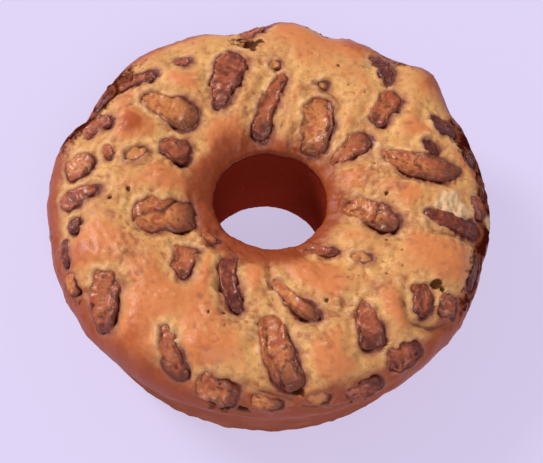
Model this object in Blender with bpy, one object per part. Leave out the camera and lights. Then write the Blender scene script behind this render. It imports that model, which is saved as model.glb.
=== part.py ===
"""An apple cake, baked in a plain tube pan and turned out to stand on its base.

Metres, +Z up, with the origin at the centre of the underside. A place on the crust is two numbers:
the clock angle about the axis, in degrees counter-clockwise from +X, and the distance over the crust
in millimetres, counted from the edge of the hole to the rim and on down the side wall.
"""

from math import cos, exp, hypot, pi, radians, sin

import bmesh
import bpy
import numpy as np
from mathutils import Vector

MM = 0.001

# The ring, as a 25 cm tube pan leaves it
RIM_RADIUS = 125 * MM
RIM_HEIGHT = 58 * MM
CROWN_RADIUS = 85 * MM
CROWN_HEIGHT = 83 * MM
HOLE_RIM_RADIUS = 33.5 * MM
HOLE_RIM_HEIGHT = 66 * MM
HOLE_BASE_RADIUS = 36 * MM
BASE_RADIUS = 112.5 * MM
BASE_EDGE_RADIUS = 3 * MM

# How finely the ring is faceted
RING_SEGMENTS = 84
CRUST_ROWS = 12
SIDE_ROWS = 3
HOLE_ROWS = 3
BASE_EDGE_ROWS = 2

# The fruit slices that show in the crust
SLICE_THICKNESS = 7 * MM
SLICE_BLUNTNESS = 0.5
SLICE_POINTEDNESS = 0.6
SLICE_SQUARENESS = 0.8
POCKET_GAP = 0.35 * MM
WIDE_SLICE = 11

# Where the batter rose more or less than the plain ring: clock angle and distance over the crust of
# the middle, half-widths along the ring and across it, and the height, all but the angle in mm
SWELLINGS = [
    (47, 94, 12, 12, 8.0),
    (27, 66, 11, 9, 3.0),
    (89, 84, 15, 10, 4.0),
    (66, 86, 12, 8, 2.4),
    (78, 102, 5, 7, -2.0),
    (130, 58, 9, 10, 2.5),
    (159, 61, 8, 7, 3.0),
    (181, 34, 12, 9, 2.5),
    (171, 98, 9, 8, 1.6),
    (210, 74, 11, 13, 2.5),
    (231, 58, 10, 9, 2.2),
    (237, 86, 18, 13, 2.8),
    (241, 34, 9, 9, 2.4),
    (255, 74, 11, 10, 2.6),
    (266, 28, 8, 7, 2.0),
    (291, 80, 13, 9, 3.2),
    (298, 27, 10, 9, 2.6),
    (310, 98, 12, 8, 1.8),
    (317, 72, 10, 9, 2.8),
    (330, 31, 11, 8, 2.2),
    (341, 78, 12, 11, 3.2),
    (5, 50, 10, 9, 2.4),
    (16, 20, 9, 9, 2.4),
    (51, 26, 7, 12, 2.4),
    (79, 24, 5, 16, 2.6),
    (114, 38, 8, 12, 2.6),
    (106, 97, 9, 12, -3.4),
    (157, 100, 12, 10, -4.5),
    (134, 96, 12, 9, 1.5),
    (195, 100, 12, 12, -1.6),
    (347, 99, 13, 12, -2.2),
]

# Each slice by its two ends, as clock angle and distance over the crust, then its width, how far its
# middle bows to one side, how much it narrows towards the second end, how pointed it is, at the second
# end or at the first where negative, and how far it stands proud
SLICES = {
    "apple_slice_01": (147, 87, 136, 73, 9, 1.0, 0.2, 0.4, 1.6),
    "apple_slice_02": (158, 93, 147, 91, 8, 0.0, 0.1, 0.4, 1.4),
    "apple_slice_03": (147, 68, 140, 32, 18, 0.5, -0.1, 0.4, 1.8),
    "apple_slice_04": (163, 41, 159, 23, 15, 0.0, -0.3, -0.4, 2.2),
    "apple_slice_05": (174, 58, 167, 44, 10, 0.0, 0.2, 0.0, 1.3),
    "apple_slice_06": (198, 50, 208, 17, 22, 0.0, 0.0, 0.0, 2.0),
    "apple_slice_07": (167, 85, 159, 73, 12, -1.0, 0.0, 0.0, 2.0),
    "apple_slice_08": (181, 88, 175, 73, 15, 0.0, 0.1, 0.3, 2.2),
    "apple_slice_09": (169, 68, 175, 64, 6, 0.0, 0.0, 0.5, 1.6),
    "apple_slice_10": (190, 92, 186, 66, 11, 1.0, 0.3, 0.6, 1.8),
    "apple_slice_11": (195, 83, 200, 83, 8, 0.0, 0.0, 0.5, 1.5),
    "apple_slice_12": (200, 91, 208, 94, 6, 0.0, 0.1, 0.0, 1.6),
    "apple_slice_13": (210, 94, 216, 97, 8, 0.0, 0.0, 0.0, 1.8),
    "apple_slice_14": (216, 75, 229, 96, 17, -2.0, 0.1, 0.0, 2.2),
    "apple_slice_15": (241, 73, 253, 94, 11, 0.0, -0.1, 0.3, 1.9),
    "apple_slice_16": (224, 31, 236, 47, 13, 0.0, 0.4, 0.3, 1.8),
    "apple_slice_17": (221, 20, 233, 14, 8, 0.0, 0.0, 0.3, 1.5),
    "apple_slice_18": (247, 17, 263, 51, 10, 2.0, 0.1, 0.5, 1.8),
    "apple_slice_19": (273, 51, 281, 91, 17, 0.0, -0.1, 0.2, 2.4),
    "apple_slice_20": (275, 29, 292, 56, 10, 0.0, 0.0, 0.6, 2.2),
    "apple_slice_21": (256, 92, 267, 96, 16, 0.0, 0.1, 0.0, 2.4),
    "apple_slice_22": (270, 96, 278, 99, 8, 0.0, 0.2, 0.4, 1.8),
    "apple_slice_23": (283, 95, 290, 98, 9, 0.0, 0.0, 0.0, 1.6),
    "apple_slice_24": (293, 99, 303, 98, 10, 0.0, 0.1, 0.4, 1.8),
    "apple_slice_25": (309, 55, 304, 81, 14, 0.0, -0.3, -0.6, 2.2),
    "apple_slice_26": (306, 89, 316, 94, 13, 0.0, 0.2, 0.2, 2.0),
    "apple_slice_27": (329, 70, 321, 82, 11, 0.0, 0.0, 0.0, 2.0),
    "apple_slice_28": (328, 84, 331, 95, 13, 0.0, 0.0, 0.0, 2.2),
    "apple_slice_29": (349, 96, 338, 97, 8, 0.0, 0.1, 0.2, 1.4),
    "apple_slice_30": (355, 57, 354, 93, 11, 0.5, -0.1, 0.3, 1.8),
    "apple_slice_31": (6, 88, -1, 92, 10, 0.0, 0.0, 0.0, 2.0),
    "apple_slice_32": (28, 38, 12, 80, 15, 7.0, -0.1, 0.3, 2.2),
    "apple_slice_33": (357, 12, 346, 45, 15, 1.0, 0.0, -0.5, 2.2),
    "apple_slice_34": (48, 71, 42, 45, 14, 0.0, 0.0, -0.5, 1.8),
    "apple_slice_35": (38, 38, 36, 11, 12, 0.0, 0.25, 0.7, 1.8),
    "apple_slice_36": (62, 87, 51, 71, 10, 0.0, 0.2, 0.5, 1.6),
    "apple_slice_37": (34, 75, 26, 88, 12, 0.0, 0.2, 0.3, 1.8),
    "apple_slice_38": (26, 63, 19, 69, 6, 0.0, 0.0, 0.4, 1.5),
    "apple_slice_39": (22, 94, 16, 92, 7, 0.0, 0.0, 0.4, 1.5),
    "apple_slice_40": (13, 97, 6, 98, 5, 0.0, 0.0, 0.4, 1.4),
    "apple_slice_41": (70, 41, 56, 6, 19, 0.5, 0.1, 0.0, 2.0),
    "apple_slice_42": (78, 47, 69, 49, 5, 1.0, 0.0, 0.0, 1.5),
    "apple_slice_43": (97, 56, 91, 57, 6, 1.0, 0.0, 0.0, 1.5),
    "apple_slice_44": (89, 51, 105, 8, 11, 0.0, -0.2, 0.0, 1.9),
    "apple_slice_45": (108, 69, 126, 33, 17, -3.0, 0.25, 0.8, 1.8),
    "apple_slice_46": (97, 93, 104, 81, 12, 0.0, 0.1, 0.3, 2.0),
    "apple_slice_47": (128, 77, 125, 67, 8, 0.0, 0.0, 0.4, 1.4),
    "apple_slice_48": (303, 9, 318, 26, 8, 0.0, 0.0, 0.4, 1.5),
    "apple_slice_49": (320, 31, 326, 43, 7, 0.0, 0.0, 0.0, 1.2),
    "apple_slice_50": (81, 93, 77, 93, 5, 0.0, 0.0, 0.3, 1.6),
}


# The crust's section: two quarter ellipses that meet at the crown
def arch_point(turn):
    """Radius and height at a turn from the hole's edge, 0, over the crown, pi / 2, to the rim, pi."""
    if turn < pi / 2:
        radius = CROWN_RADIUS - (CROWN_RADIUS - HOLE_RIM_RADIUS) * cos(turn)
        height = HOLE_RIM_HEIGHT + (CROWN_HEIGHT - HOLE_RIM_HEIGHT) * sin(turn)
    else:
        radius = CROWN_RADIUS - (RIM_RADIUS - CROWN_RADIUS) * cos(turn)
        height = RIM_HEIGHT + (CROWN_HEIGHT - RIM_HEIGHT) * sin(turn)
    return radius, height


ARCH_STEPS = 400
ARCH = np.array([arch_point(pi * step / ARCH_STEPS) for step in range(ARCH_STEPS + 1)])
ARCH_OVER = np.concatenate([[0.0], np.cumsum(np.hypot(*np.diff(ARCH, axis=0).T))])
CRUST_WIDTH = ARCH_OVER[-1]
SIDE_DEPTH = hypot(RIM_RADIUS - BASE_RADIUS, RIM_HEIGHT)
HOLE_DEPTH = hypot(HOLE_BASE_RADIUS - HOLE_RIM_RADIUS, HOLE_RIM_HEIGHT)


def section_point(over):
    """Radius and height where the distance over the crust is over, in metres, or past either edge."""
    if over < 0:
        down = -over / HOLE_DEPTH
        radius = HOLE_RIM_RADIUS + (HOLE_BASE_RADIUS - HOLE_RIM_RADIUS) * down
        return radius, HOLE_RIM_HEIGHT * (1 - down)
    if over > CRUST_WIDTH:
        down = (over - CRUST_WIDTH) / SIDE_DEPTH
        return RIM_RADIUS + (BASE_RADIUS - RIM_RADIUS) * down, RIM_HEIGHT * (1 - down)
    return np.interp(over, ARCH_OVER, ARCH[:, 0]), np.interp(over, ARCH_OVER, ARCH[:, 1])


def section_normal(over):
    """Unit vector out of the crust in the section's plane, as radial and upward parts."""
    step = 0.5 * MM
    before = section_point(over - step)
    after = section_point(over + step)
    run = after[0] - before[0]
    rise = after[1] - before[1]
    length = hypot(run, rise)
    return -rise / length, run / length


def swelling(clock, over):
    """How far the batter stands out from the plain ring, in metres. The clock angle is in radians."""
    radius = section_point(over)[0]
    total = 0.0
    for middle, middle_over, along, across, height in SWELLINGS:
        turn = (clock - radians(middle) + pi) % (2 * pi) - pi
        around = turn * radius / (along * MM)
        outward = (over - middle_over * MM) / (across * MM)
        total += height * MM * exp(-0.5 * (around * around + outward * outward))
    return total


def crust_point(clock, over, proud=0.0):
    """The point at a clock angle and a distance over the crust, standing proud of the batter."""
    radius, height = section_point(over)
    outward, upward = section_normal(over)
    lift = swelling(clock, over) + proud
    radius += outward * lift
    height += upward * lift
    return Vector((radius * cos(clock), radius * sin(clock), height))


def material(name, color, roughness):
    finish = bpy.data.materials.new(name)
    finish.use_nodes = True
    shader = finish.node_tree.nodes["Principled BSDF"]
    shader.inputs["Base Color"].default_value = (*color, 1)
    shader.inputs["Roughness"].default_value = roughness
    return finish


def face_outwards(bm):
    """Turn every face to the same side, and that side to the outside."""
    bmesh.ops.recalc_face_normals(bm, faces=bm.faces[:])
    if bm.calc_volume(signed=True) < 0:
        bmesh.ops.reverse_faces(bm, faces=bm.faces[:])


def add_object(name, bm, collection, finish):
    mesh = bpy.data.meshes.new(name)
    bm.to_mesh(mesh)
    bm.free()
    mesh.materials.append(finish)
    mesh.shade_smooth()
    mesh.set_sharp_from_angle(angle=radians(50))
    obj = bpy.data.objects.new(name, mesh)
    collection.objects.link(obj)
    return obj


# The cake: a closed section spun about the axis, then swollen
def ring_section():
    """Distances over the crust of the section's corners, from the hole's foot to the side's foot."""
    hole = [-HOLE_DEPTH + HOLE_DEPTH * row / HOLE_ROWS for row in range(HOLE_ROWS)]
    crust = [CRUST_WIDTH * row / CRUST_ROWS for row in range(CRUST_ROWS + 1)]
    side_end = SIDE_DEPTH - BASE_EDGE_RADIUS
    side = [CRUST_WIDTH + side_end * (row + 1) / SIDE_ROWS for row in range(SIDE_ROWS)]
    return hole + crust + side


def base_edge():
    """Corners of the small round between the side wall and the underside, the last one at its end."""
    corners = []
    for row in range(1, BASE_EDGE_ROWS + 1):
        turn = pi / 2 * row / BASE_EDGE_ROWS
        radius = BASE_RADIUS - BASE_EDGE_RADIUS * (1 - cos(turn))
        corners.append((radius, BASE_EDGE_RADIUS * (1 - sin(turn))))
    return corners


def build_cake(collection, finish):
    bm = bmesh.new()
    reach = bm.verts.layers.float.new("over")
    swells = bm.verts.layers.float.new("swells")
    corners = []
    for over in ring_section():
        radius, height = section_point(over)
        corner = bm.verts.new((radius, 0, height))
        corner[reach] = over
        corner[swells] = 1.0 if over >= 0 else 0.0
        corners.append(corner)
    for radius, height in base_edge():
        corners.append(bm.verts.new((radius, 0, height)))
    for corner, following in zip(corners, corners[1:] + corners[:1]):
        bm.edges.new((corner, following))
    bmesh.ops.spin(
        bm, geom=bm.verts[:] + bm.edges[:], cent=(0, 0, 0), axis=(0, 0, 1),
        angle=2 * pi, steps=RING_SEGMENTS, use_merge=True,
    )
    for vert in bm.verts:
        if vert[swells] > 0.5:
            clock = np.arctan2(vert.co.y, vert.co.x)
            vert.co = crust_point(clock, vert[reach])
    face_outwards(bm)
    return add_object("cake", bm, collection, finish)


# The slices: rounded slabs that lie along the crust and follow it
def blunt(value, power):
    """A sine or cosine squared off towards its ends, with its sign kept."""
    return abs(value) ** power * (1 if value > 0 else -1)


def slice_mesh(start, start_over, end, end_over, width, bow, taper, point, proud, gap=0.0):
    start, end = radians(start), radians(end)
    start_over, end_over = start_over * MM, end_over * MM
    middle_radius = section_point((start_over + end_over) / 2)[0]
    around = (end - start) * middle_radius
    outward = end_over - start_over
    length = hypot(around, outward)
    around, outward = around / length, outward / length
    thickness = min(SLICE_THICKNESS, 0.9 * width * MM)
    wide = width >= WIDE_SLICE
    bm = bmesh.new()
    bmesh.ops.create_uvsphere(bm, u_segments=10 if wide else 8, v_segments=6 if wide else 5, radius=1)
    for vert in bm.verts:
        along = vert.co.z
        ring = hypot(vert.co.x, vert.co.y)
        fullness = ring ** (SLICE_BLUNTNESS + SLICE_POINTEDNESS * max(0.0, point * along))
        side = 0.0
        rise = 0.0
        if ring > 1e-4:
            side = blunt(vert.co.x / ring, SLICE_SQUARENESS) * fullness
            rise = blunt(vert.co.y / ring, SLICE_SQUARENESS) * fullness
        side *= width * MM / 2 * (1 - taper * along) + gap
        side += bow * MM * (1 - along * along)
        rise *= thickness / 2 + gap
        rise += proud * MM - thickness / 2
        share = 0.5 + along * (0.5 + gap / length)
        over = start_over + (end_over - start_over) * share + side * around
        clock = start + (end - start) * share - side * outward / section_point(over)[0]
        vert.co = crust_point(clock, over, rise)
    face_outwards(bm)
    return bm


def build_slices(collection, finish):
    for name, place in SLICES.items():
        add_object(name, slice_mesh(*place), collection, finish)


def cut_pockets(cake, cutters, finish):
    """Sink a pocket a little larger than each slice into the cake, so that no two solids overlap."""
    for name, place in SLICES.items():
        pocket = add_object(name + "_pocket", slice_mesh(*place, gap=POCKET_GAP), cutters, finish)
        pocket.hide_render = True
        pocket.display_type = "WIRE"
    cut = cake.modifiers.new("pockets", "BOOLEAN")
    cut.operation = "DIFFERENCE"
    cut.operand_type = "COLLECTION"
    cut.collection = cutters


def centre_on_origin(objects):
    """Move every mesh sideways so that the middle of the whole cake's box stands on the origin."""
    points = [vert.co for obj in objects for vert in obj.data.vertices]
    middle_x = (max(point.x for point in points) + min(point.x for point in points)) / 2
    middle_y = (max(point.y for point in points) + min(point.y for point in points)) / 2
    for obj in objects:
        for vert in obj.data.vertices:
            vert.co.x -= middle_x
            vert.co.y -= middle_y


def main():
    for obj in list(bpy.data.objects):
        bpy.data.objects.remove(obj, do_unlink=True)
    model = bpy.data.collections.new("apple_ring_cake")
    cutters = bpy.data.collections.new("cutters")
    bpy.context.scene.collection.children.link(model)
    bpy.context.scene.collection.children.link(cutters)
    crust = material("golden_crust", (0.66, 0.36, 0.12), 0.5)
    fruit = material("baked_fruit", (0.2, 0.06, 0.02), 0.4)
    cake = build_cake(model, crust)
    build_slices(model, fruit)
    cut_pockets(cake, cutters, crust)
    centre_on_origin(list(model.objects) + list(cutters.objects))


main()
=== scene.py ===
"""An apple ring cake in a plain pale studio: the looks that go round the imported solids.

Metres, +Z up, in the solids' frame. As in the solids, a place on the crust is a clock angle about
the axis, in degrees counter-clockwise from +X, and a distance over the crust in millimetres,
counted from the edge of the hole to the rim and on down the side wall.
"""

import random
from collections import namedtuple
from math import cos, hypot, pi, radians, sin

import bmesh
import bpy
import numpy as np
from mathutils import Matrix, Vector, kdtree, noise


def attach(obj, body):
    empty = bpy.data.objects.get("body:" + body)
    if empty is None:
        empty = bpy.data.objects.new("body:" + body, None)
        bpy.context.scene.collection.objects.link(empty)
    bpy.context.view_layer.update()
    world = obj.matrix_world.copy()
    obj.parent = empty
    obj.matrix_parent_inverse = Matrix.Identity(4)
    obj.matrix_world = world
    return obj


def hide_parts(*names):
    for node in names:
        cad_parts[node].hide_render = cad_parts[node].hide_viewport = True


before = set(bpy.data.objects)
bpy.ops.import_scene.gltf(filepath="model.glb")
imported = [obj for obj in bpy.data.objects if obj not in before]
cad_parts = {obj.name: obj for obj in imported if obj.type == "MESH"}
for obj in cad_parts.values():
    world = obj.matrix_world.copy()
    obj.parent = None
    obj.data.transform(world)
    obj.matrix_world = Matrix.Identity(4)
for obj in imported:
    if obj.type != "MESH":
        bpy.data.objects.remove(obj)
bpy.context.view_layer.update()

MM = 0.001

# The ring, as the solids have it
RIM_RADIUS = 125 * MM
RIM_HEIGHT = 58 * MM
CROWN_RADIUS = 85 * MM
CROWN_HEIGHT = 83 * MM
HOLE_RIM_RADIUS = 33.5 * MM
HOLE_RIM_HEIGHT = 66 * MM
HOLE_BASE_RADIUS = 36 * MM
BASE_RADIUS = 112.5 * MM
BASE_EDGE_RADIUS = 3 * MM

# The slices' slabs: their thickness, and the powers that round their ends, sharpen a pointed end
# and square the cross-section
SLICE_THICKNESS = 7 * MM
SLICE_BLUNTNESS = 0.5
SLICE_POINTEDNESS = 0.6
SLICE_SQUARENESS = 0.42

# How finely the crust is meshed: steps around it, and rows across each stretch of its section
CRUST_STEPS = 480
HOLE_ROWS = 24
CRUST_ROWS = 134
SIDE_ROWS = 30
EDGE_ROWS = 3
UNDERSIDE_ROWS = 7

# How finely the rest is drawn: steps in a half turn, such as the section's arch, and in its base
# edge, points round a slice's outline, and the size of a slice's faces round it and along it
HALF_TURN_STEPS = 400
EDGE_STEPS = 8
OUTLINE_POINTS = 160
FACE_ROUND = 0.5 * MM
FACE_ALONG = 0.55 * MM

# How much of each noise in the finishes is fine detail
NOISE_ROUGHNESS = 0.6

# The side of each slice away from the light, to the right and front, where painted shade darkens the
# slice's rim and the batter beside it
SHADED_SIDE = np.array([0.85, -0.5, 0.0])

# Where the batter rose more or less than the plain ring: the middle's clock angle and distance over
# the crust, half-widths along the ring and across it and the height in mm, as the solids have them,
# and then how far the top of it has browned
SWELLINGS = [
    (47, 94, 12, 12, 8.0, 0.0),
    (27, 66, 11, 9, 3.0, 0.1),
    (89, 84, 15, 10, 4.0, 0.5),
    (66, 86, 12, 8, 2.4, 0.6),
    (78, 102, 5, 7, -2.0, 0.0),
    (130, 58, 9, 10, 2.5, 0.5),
    (159, 61, 8, 7, 3.0, 1.8),
    (181, 34, 12, 9, 2.5, 0.8),
    (171, 98, 9, 8, 1.6, 0.4),
    (210, 74, 11, 13, 2.5, 0.7),
    (231, 58, 10, 9, 2.2, 0.8),
    (237, 86, 18, 13, 2.8, 1.15),
    (241, 34, 9, 9, 2.4, 0.8),
    (255, 74, 11, 10, 2.6, 0.8),
    (266, 28, 8, 7, 2.0, 0.5),
    (291, 80, 13, 9, 3.2, 0.5),
    (298, 27, 10, 9, 2.6, 0.8),
    (310, 98, 12, 8, 1.8, 0.3),
    (317, 72, 10, 9, 2.8, 0.6),
    (330, 31, 11, 8, 2.2, 0.4),
    (341, 78, 12, 11, 3.2, 0.7),
    (5, 50, 10, 9, 2.4, 0.2),
    (16, 20, 9, 9, 2.4, 0.6),
    (51, 26, 7, 12, 2.4, 0.2),
    (79, 24, 5, 16, 2.6, 0.4),
    (114, 38, 8, 12, 2.6, 0.2),
    (106, 97, 9, 12, -3.4, 0.0),
    (157, 100, 12, 10, -4.5, 0.0),
    (134, 96, 12, 9, 1.5, 0.3),
    (195, 100, 12, 12, -1.6, 0.2),
    (347, 99, 13, 12, -2.2, 0.0),
]

# Each fruit slice as the solids have it: its two ends, its width, bow and taper, which end is
# pointed and how far it stands proud. Then its own looks: tone from nearly black, 0, over baked,
# 0.5, to pale, 1, how far its rim has curled up, and how lumpy it is
Slice = namedtuple(
    "Slice", "start start_over end end_over width bow taper point proud tone curl lumps"
)
SLICES = [
    Slice(147, 87, 136, 73, 9, 1.0, 0.2, 0.4, 1.6, 0.3, 0.8, 0.8),
    Slice(158, 93, 147, 91, 8, 0.0, 0.1, 0.4, 1.4, 0.0, 0.3, 0.5),
    Slice(147, 68, 140, 32, 18, 0.5, -0.1, 0.4, 1.8, 0.7, 0.4, 1.0),
    Slice(163, 41, 159, 23, 15, 0.0, -0.3, -0.4, 2.2, 0.35, 1.0, 0.6),
    Slice(174, 58, 167, 44, 10, 0.0, 0.2, 0.0, 1.3, 0.85, 0.3, 0.8),
    Slice(198, 50, 208, 17, 22, 0.0, 0.0, 0.0, 2.0, 0.55, 0.5, 0.4),
    Slice(167, 85, 159, 73, 12, -1.0, 0.0, 0.0, 2.0, 0.35, 1.0, 0.6),
    Slice(181, 88, 175, 73, 15, 0.0, 0.1, 0.3, 2.2, 0.55, 0.7, 0.9),
    Slice(169, 68, 175, 64, 6, 0.0, 0.0, 0.5, 1.6, 0.45, 0.4, 0.6),
    Slice(190, 92, 186, 66, 11, 1.0, 0.3, 0.6, 1.8, 0.3, 0.6, 1.0),
    Slice(195, 83, 200, 83, 8, 0.0, 0.0, 0.5, 1.5, 0.1, 0.3, 0.6),
    Slice(200, 91, 208, 94, 6, 0.0, 0.1, 0.0, 1.6, 0.15, 0.3, 0.6),
    Slice(210, 94, 216, 97, 8, 0.0, 0.0, 0.0, 1.8, 0.6, 0.6, 0.6),
    Slice(216, 75, 229, 96, 17, -2.0, 0.1, 0.0, 2.2, 0.4, 0.9, 0.8),
    Slice(241, 73, 253, 94, 11, 0.0, -0.1, 0.3, 1.9, 0.4, 0.8, 0.8),
    Slice(224, 31, 236, 47, 13, 0.0, 0.4, 0.3, 1.8, 0.45, 0.6, 0.6),
    Slice(221, 20, 233, 14, 8, 0.0, 0.0, 0.3, 1.5, 0.5, 0.3, 0.6),
    Slice(247, 17, 263, 51, 10, 2.0, 0.1, 0.5, 1.8, 0.2, 0.6, 0.8),
    Slice(273, 51, 281, 91, 17, 0.0, -0.1, 0.2, 2.4, 0.5, 0.7, 1.0),
    Slice(275, 29, 292, 56, 10, 0.0, 0.0, 0.6, 2.2, 0.6, 0.5, 0.3),
    Slice(256, 92, 267, 96, 16, 0.0, 0.1, 0.0, 2.4, 0.45, 0.5, 1.0),
    Slice(270, 96, 278, 99, 8, 0.0, 0.2, 0.4, 1.8, 0.6, 0.4, 0.7),
    Slice(283, 95, 290, 98, 9, 0.0, 0.0, 0.0, 1.6, 0.85, 0.3, 0.8),
    Slice(293, 99, 303, 98, 10, 0.0, 0.1, 0.4, 1.8, 0.3, 0.8, 0.8),
    Slice(309, 55, 304, 81, 14, 0.0, -0.3, -0.6, 2.2, 0.35, 0.6, 1.0),
    Slice(306, 89, 316, 94, 13, 0.0, 0.2, 0.2, 2.0, 0.3, 0.6, 1.0),
    Slice(329, 70, 321, 82, 11, 0.0, 0.0, 0.0, 2.0, 0.3, 0.6, 1.0),
    Slice(328, 84, 331, 95, 13, 0.0, 0.0, 0.0, 2.2, 0.35, 0.7, 1.0),
    Slice(349, 96, 338, 97, 8, 0.0, 0.1, 0.2, 1.4, 0.05, 0.2, 0.4),
    Slice(355, 57, 354, 93, 11, 0.5, -0.1, 0.3, 1.8, 0.15, 0.7, 0.7),
    Slice(6, 88, -1, 92, 10, 0.0, 0.0, 0.0, 2.0, 0.35, 0.4, 0.5),
    Slice(28, 38, 12, 80, 15, 7.0, -0.1, 0.3, 2.2, 0.5, 1.2, 0.8),
    Slice(357, 12, 346, 45, 15, 1.0, 0.0, -0.5, 2.2, 0.55, 1.2, 0.8),
    Slice(48, 71, 42, 45, 14, 0.0, 0.0, -0.5, 1.8, 0.45, 0.6, 0.8),
    Slice(38, 38, 36, 11, 12, 0.0, 0.25, 0.7, 1.8, 0.45, 0.5, 0.8),
    Slice(62, 87, 51, 71, 10, 0.0, 0.2, 0.5, 1.6, 0.1, 0.4, 0.7),
    Slice(34, 75, 26, 88, 12, 0.0, 0.2, 0.3, 1.8, 0.1, 0.7, 0.7),
    Slice(26, 63, 19, 69, 6, 0.0, 0.0, 0.4, 1.5, 0.1, 0.3, 0.5),
    Slice(22, 94, 16, 92, 7, 0.0, 0.0, 0.4, 1.5, 0.1, 0.4, 0.6),
    Slice(13, 97, 6, 98, 5, 0.0, 0.0, 0.4, 1.4, 0.05, 0.3, 0.5),
    Slice(70, 41, 56, 6, 19, 0.5, 0.1, 0.0, 2.0, 0.6, 0.4, 0.5),
    Slice(78, 47, 69, 49, 5, 1.0, 0.0, 0.0, 1.5, 0.8, 0.6, 0.3),
    Slice(97, 56, 91, 57, 6, 1.0, 0.0, 0.0, 1.5, 0.85, 0.6, 0.3),
    Slice(89, 51, 105, 8, 11, 0.0, -0.2, 0.0, 1.9, 0.4, 0.5, 0.7),
    Slice(108, 69, 126, 33, 17, -3.0, 0.25, 0.8, 1.8, 0.3, 0.3, 1.2),
    Slice(97, 93, 104, 81, 12, 0.0, 0.1, 0.3, 2.0, 0.3, 0.6, 1.0),
    Slice(128, 77, 125, 67, 8, 0.0, 0.0, 0.4, 1.4, 0.3, 0.4, 0.8),
    Slice(303, 9, 318, 26, 8, 0.0, 0.0, 0.4, 1.5, 0.3, 0.5, 0.7),
    Slice(320, 31, 326, 43, 7, 0.0, 0.0, 0.0, 1.2, 0.85, 0.4, 0.4),
    Slice(81, 93, 77, 93, 5, 0.0, 0.0, 0.3, 1.6, 0.2, 0.3, 0.6),
]

# Pits: clock angle and distance over the crust, radius and depth in mm. Then the small ones that
# are strewn between them: how many, where over the crust, their radii and their depth
PITS = [
    (102, 71, 3.4, 4.0),
    (99, 73, 2.2, 3.0),
    (332, 77, 2.6, 4.0),
    (332, 81, 1.8, 3.0),
    (264, 103, 3.4, 3.2),
    (268, 103, 2.4, 3.0),
    (261, 101, 2.2, 2.4),
    (282, 91, 2.6, 3.0),
    (188, 51, 1.4, 1.6),
    (191, 61, 1.1, 1.3),
    (208, 58, 1.0, 1.1),
    (211, 58, 1.2, 1.2),
    (220, 63, 1.1, 1.2),
    (358, 40, 1.1, 1.2),
    (3, 36, 1.3, 1.6),
    (6, 53, 1.3, 1.2),
    (22, 33, 1.1, 1.2),
    (297, 48, 1.3, 1.6),
    (324, 53, 1.0, 1.1),
    (70, 64, 1.1, 1.2),
    (107, 45, 1.3, 1.2),
    (338, 42, 1.2, 1.2),
    (259, 60, 1.3, 1.3),
    (252, 57, 1.2, 1.2),
    (257, 54, 1.1, 1.1),
]
LOOSE_PITS = 110
LOOSE_PITS_OVER = (22, 92)
LOOSE_PIT_RADIUS = (0.6, 1.1)
LOOSE_PIT_DEPTH = 0.8

# Cracks in the batter along some slices: half-width and depth in mm, then the clock angles and
# distances over the crust of the places they pass
CRACKS = [
    (0.3, 1.2, (176, 49), (173, 36), (166, 20)),
    (0.6, 1.6, (266, 85), (270, 89), (280, 96)),
    (1.0, 1.6, (263, 101), (266, 106), (270, 105)),
    (0.2, 1.2, (283, 101), (288, 105), (294, 107), (301, 106), (306, 103)),
    (0.8, 1.8, (320, 70), (317, 79), (321, 90), (327, 97)),
    (0.4, 1.4, (273, 20), (275, 40), (277, 48)),
    (0.2, 1.0, (79, 42), (69, 45), (60, 44)),
    (0.3, 1.2, (76, 18), (77, 10), (74, 3), (66, 0)),
    (0.3, 1.0, (130, 76), (133, 70)),
    (0.2, 1.0, (27, 32), (23, 36)),
    (0.2, 0.9, (192, 66), (190, 60)),
    (0.5, 1.2, (215, 97), (218, 88)),
    (0.3, 1.2, (222, 73), (225, 68)),
    (0.2, 1.0, (87, 40), (85, 27), (88, 15)),
    (0.6, 1.4, (18, 43), (11, 48), (8, 59), (8, 72)),
    (0.3, 1.2, (349, 64), (350, 79), (350, 90)),
    (0.5, 1.2, (206, 50), (212, 38), (215, 26), (211, 18)),
    (0.5, 1.4, (246, 18), (248, 32), (252, 43), (258, 50)),
    (0.3, 1.0, (47, 39), (43, 34), (37, 33)),
]

# Creases that show in single slices: the slice's number, then the two ends of the crease as places
# along and across it, -1 to 1, and its depth and half-width in mm
CREASES = [
    (6, -0.95, 0.45, 0.35, -0.9, 1.6, 1.3),
    (20, -0.8, 0.55, 0.9, 0.35, 1.2, 0.9),
    (41, -0.9, -0.45, 0.1, -0.7, 1.1, 0.9),
    (19, -0.7, 0.35, 0.8, 0.5, 1.2, 0.9),
    (14, -0.5, 0.1, 0.5, 0.3, 1.1, 0.9),
    (4, -0.6, -0.5, 0.7, -0.6, 1.0, 0.8),
    (32, -0.7, 0.1, 0.8, -0.1, 1.0, 1.0),
    (33, 0.1, -0.8, 0.3, 0.8, 1.2, 0.9),
    (34, -0.6, 0.3, 0.8, -0.2, 1.0, 0.9),
]

# Patches of the crust, each a clock angle and distance over the crust, half-widths along the ring
# and across it in mm, and a strength
CRUMBLY = [
    (215, 60, 14, 8, 1.0),
    (300, 54, 9, 7, 1.0),
    (264, 50, 7, 8, 0.8),
    (287, 60, 7, 9, 1.0),
    (113, 36, 7, 9, 0.8),
    (150, 78, 8, 7, 0.8),
    (20, 33, 9, 8, 0.7),
    (255, 58, 9, 8, 0.6),
    (350, 66, 9, 8, 0.9),
    (344, 46, 8, 6, 0.9),
    (8, 38, 8, 8, 0.7),
    (97, 62, 8, 7, 0.7),
    (45, 54, 4, 14, 0.5),
    (187, 56, 7, 10, 0.5),
    (318, 57, 8, 7, 0.6),
]
TORN = [
    (358, 74, 5, 8, 1.0),
    (1, 71, 5, 5, 0.9),
    (31, 38, 3, 3, 0.6),
    (97, 39, 3, 6, 0.5),
    (247, 79, 1.5, 2.5, 0.8),
    (0, 101, 3.5, 3.5, 1.0),
]
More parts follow.
